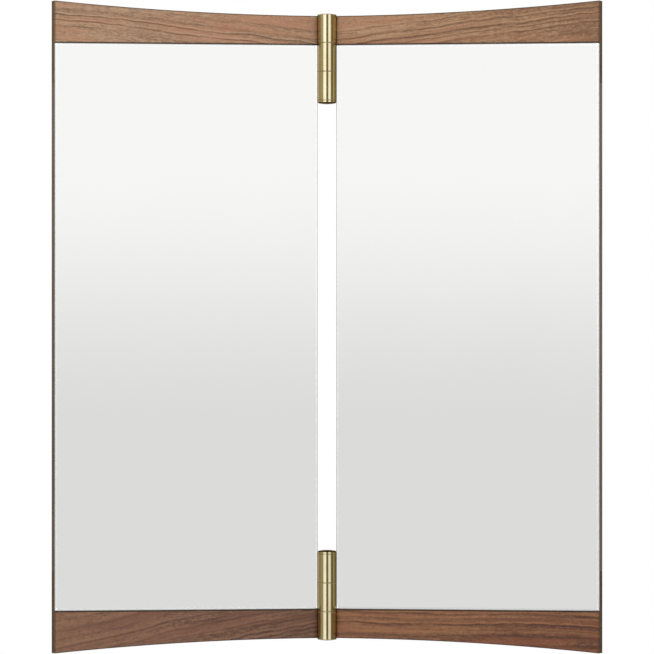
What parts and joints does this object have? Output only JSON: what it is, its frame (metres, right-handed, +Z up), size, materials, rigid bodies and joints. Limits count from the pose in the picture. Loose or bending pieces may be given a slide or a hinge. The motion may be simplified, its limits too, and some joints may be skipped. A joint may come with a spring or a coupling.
{
  "type": "folding wall mirror",
  "caption": "Wall mirror of hinged glass panels in walnut frames with bowed rails: one panel hangs on the wall, the other swings on brass barrel hinges.",
  "frame": {"origin": "on the back face of the left, wall-fixed panel, midway between its four hanging holes", "axes": "+Z up; +Y from the mirror towards the wall, square to the left panel's back; +X to the right as seen from the front, from the left panel towards the hinges"},
  "size_m": [0.5762, 0.1518, 0.7],
  "materials": {
    "walnut": "satin oiled walnut",
    "beech": "plain beech",
    "mirror_glass": "silvered, bevelled edge",
    "foam_tape": "soft foam",
    "board": "fibreboard",
    "back_cover": "smooth hardboard",
    "steel_screws": "bright zinc",
    "zinc_plate": "zinc plated",
    "rubber": "matt black",
    "brass": "polished brass"
  },
  "bodies": {
    "fixed_panel": {"fixed_top_rail": "walnut", "fixed_bottom_rail": "walnut", "fixed_outer_stile": "walnut", "fixed_inner_stile": "walnut", "fixed_tenons": "beech", "fixed_mirror_glass": "mirror_glass", "fixed_glass_tape": "foam_tape", "fixed_core_board": "board", "fixed_back_cover": "back_cover", "fixed_cover_screws": "steel_screws", "keyhole_plates": "zinc_plate", "keyhole_screws": "steel_screws", "wall_bumpers": "rubber", "upper_single_leaf": "brass", "upper_single_leaf_screws": "brass", "lower_double_leaf": "brass", "lower_pin": "brass", "lower_washers": "brass", "lower_double_leaf_screws": "brass"},
    "swing_panel": {"swing_top_rail": "walnut", "swing_bottom_rail": "walnut", "swing_outer_stile": "walnut", "swing_inner_stile": "walnut", "swing_tenons": "beech", "swing_mirror_glass": "mirror_glass", "swing_glass_tape": "foam_tape", "swing_core_board": "board", "swing_back_cover": "back_cover", "swing_cover_screws": "steel_screws", "swing_bumpers": "rubber", "upper_double_leaf": "brass", "upper_pin": "brass", "upper_washers": "brass", "upper_double_leaf_screws": "brass", "lower_single_leaf": "brass", "lower_single_leaf_screws": "brass"}
  },
  "joints": [
    {"name": "panel_fold", "type": "hinge", "parent": "fixed_panel", "child": "swing_panel", "pos_m": [0.1537, -0.0223, 0], "axis": [0, 0, -1], "range_deg": [-26, 150]}
  ]
}
